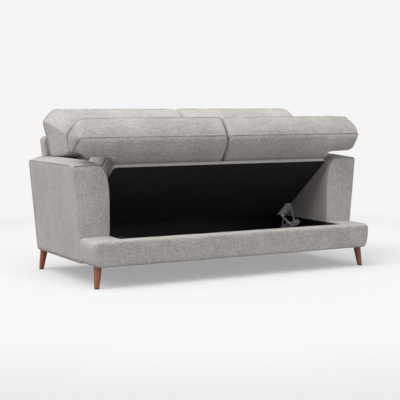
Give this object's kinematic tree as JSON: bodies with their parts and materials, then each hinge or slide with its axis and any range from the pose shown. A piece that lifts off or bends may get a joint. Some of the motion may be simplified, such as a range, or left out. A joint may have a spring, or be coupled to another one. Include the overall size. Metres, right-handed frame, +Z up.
{
  "type": "storage sofa",
  "caption": "Upholstered sofa whose one-piece seat lifts on link hinges over a storage box, with flared arms, loose back cushions and splayed tapered legs.",
  "frame": {"origin": "on the floor, under the middle of the overall box", "axes": "+X along the seat to the sitter's left, -Y out of the front, +Z up"},
  "size_m": [1.882, 0.872, 0.9461],
  "materials": {
    "cover_fabric": "light grey heathered weave",
    "cushion_fabric": "light grey heathered weave",
    "timber": "unfinished softwood and plywood",
    "black_board": "black faced board",
    "black_cloth": "black woven cloth",
    "rubber": "matt black",
    "leg_wood": "satin warm brown",
    "zinc_steel": "bright zinc plated"
  },
  "bodies": {
    "sofa_frame": {"front_rail_frame": "timber", "arm_frame_left": "timber", "arm_frame_right": "timber", "back_frame": "timber", "base_rear_rail": "timber", "floor_bearers": "timber", "front_rail_cover": "cover_fabric", "arm_cover_left": "cover_fabric", "arm_cover_right": "cover_fabric", "back_cover": "cover_fabric", "back_cushion_left": "cushion_fabric", "back_cushion_right": "cushion_fabric", "storage_floor": "black_board", "storage_wall_left": "black_board", "storage_wall_right": "black_board", "storage_wall_front": "black_board", "storage_wall_back": "black_board", "lid_rests": "black_board", "dust_cover": "black_cloth", "lid_bumpers": "rubber", "foot_glides": "rubber", "leg_front_left": "leg_wood", "leg_front_right": "leg_wood", "leg_back_left": "leg_wood", "leg_back_right": "leg_wood", "leg_plates": "zinc_steel", "leg_bolts": "zinc_steel", "lift_base_left": "zinc_steel", "lift_base_right": "zinc_steel", "lift_base_screws": "zinc_steel", "base_rivets": "zinc_steel"},
    "seat_lid": {"lid_board": "timber", "lid_lining": "black_cloth", "lid_edge_band": "cover_fabric", "seat_cushion_left": "cushion_fabric", "seat_cushion_right": "cushion_fabric", "lift_bracket_left": "zinc_steel", "lift_bracket_right": "zinc_steel", "lift_bracket_screws": "zinc_steel", "lid_rivets": "zinc_steel"},
    "rear_link_right": {"rear_link_right": "zinc_steel"},
    "rear_link_left": {"rear_link_left": "zinc_steel"},
    "front_link_right": {"front_link_right": "zinc_steel"},
    "front_link_left": {"front_link_left": "zinc_steel"},
    "strut_tube_right": {"strut_tube_right": "zinc_steel"},
    "strut_tube_left": {"strut_tube_left": "zinc_steel"},
    "strut_rod_right": {"strut_rod_right": "zinc_steel"},
    "strut_rod_left": {"strut_rod_left": "zinc_steel"}
  },
  "joints": [
    {"name": "seat_lift", "type": "hinge", "parent": "sofa_frame", "child": "rear_link_right", "pos_m": [0.706, 0.229, 0.176], "axis": [1, 0, 0], "range_deg": [-53.43, 0]},
    {"name": "lid_tilt", "type": "hinge", "parent": "rear_link_right", "child": "seat_lid", "pos_m": [0.706, 0.20784, 0.2591], "axis": [1, 0, 0], "range_deg": [0, 90.83]},
    {"name": "rear_link_left_turn", "type": "hinge", "parent": "sofa_frame", "child": "rear_link_left", "pos_m": [-0.706, 0.229, 0.176], "axis": [1, 0, 0], "range_deg": [-53.43, 0]},
    {"name": "front_link_right_turn", "type": "hinge", "parent": "sofa_frame", "child": "front_link_right", "pos_m": [0.706, 0.079, 0.223], "axis": [1, 0, 0], "range_deg": [-54.7, 0]},
    {"name": "front_link_left_turn", "type": "hinge", "parent": "sofa_frame", "child": "front_link_left", "pos_m": [-0.706, 0.079, 0.223], "axis": [1, 0, 0], "range_deg": [-54.7, 0]},
    {"name": "strut_right_turn", "type": "hinge", "parent": "sofa_frame", "child": "strut_tube_right", "pos_m": [0.693, 0.099, 0.205], "axis": [1, 0, 0], "range_deg": [-14.92, 0]},
    {"name": "strut_left_turn", "type": "hinge", "parent": "sofa_frame", "child": "strut_tube_left", "pos_m": [-0.693, 0.099, 0.205], "axis": [1, 0, 0], "range_deg": [-14.92, 0]},
    {"name": "strut_right_stretch", "type": "slide", "parent": "strut_tube_right", "child": "strut_rod_right", "axis": [0, 0.8955, 0.4451], "range_m": [0, 0.06637]},
    {"name": "strut_left_stretch", "type": "slide", "parent": "strut_tube_left", "child": "strut_rod_left", "axis": [0, 0.8955, 0.4451], "range_m": [0, 0.06637]}
  ],
  "couplings": [
    {"joint": "lid_tilt", "follows": "seat_lift", "ratio": -1.7},
    {"joint": "rear_link_left_turn", "follows": "seat_lift", "ratio": 1},
    {"joint": "front_link_right_turn", "follows": "seat_lift", "ratio": 1.0238},
    {"joint": "front_link_left_turn", "follows": "seat_lift", "ratio": 1.0238},
    {"joint": "strut_right_turn", "follows": "seat_lift", "ratio": 0.2793},
    {"joint": "strut_left_turn", "follows": "seat_lift", "ratio": 0.2793},
    {"joint": "strut_right_stretch", "follows": "seat_lift", "m_per_rad": -0.071173},
    {"joint": "strut_left_stretch", "follows": "seat_lift", "m_per_rad": -0.071173}
  ]
}
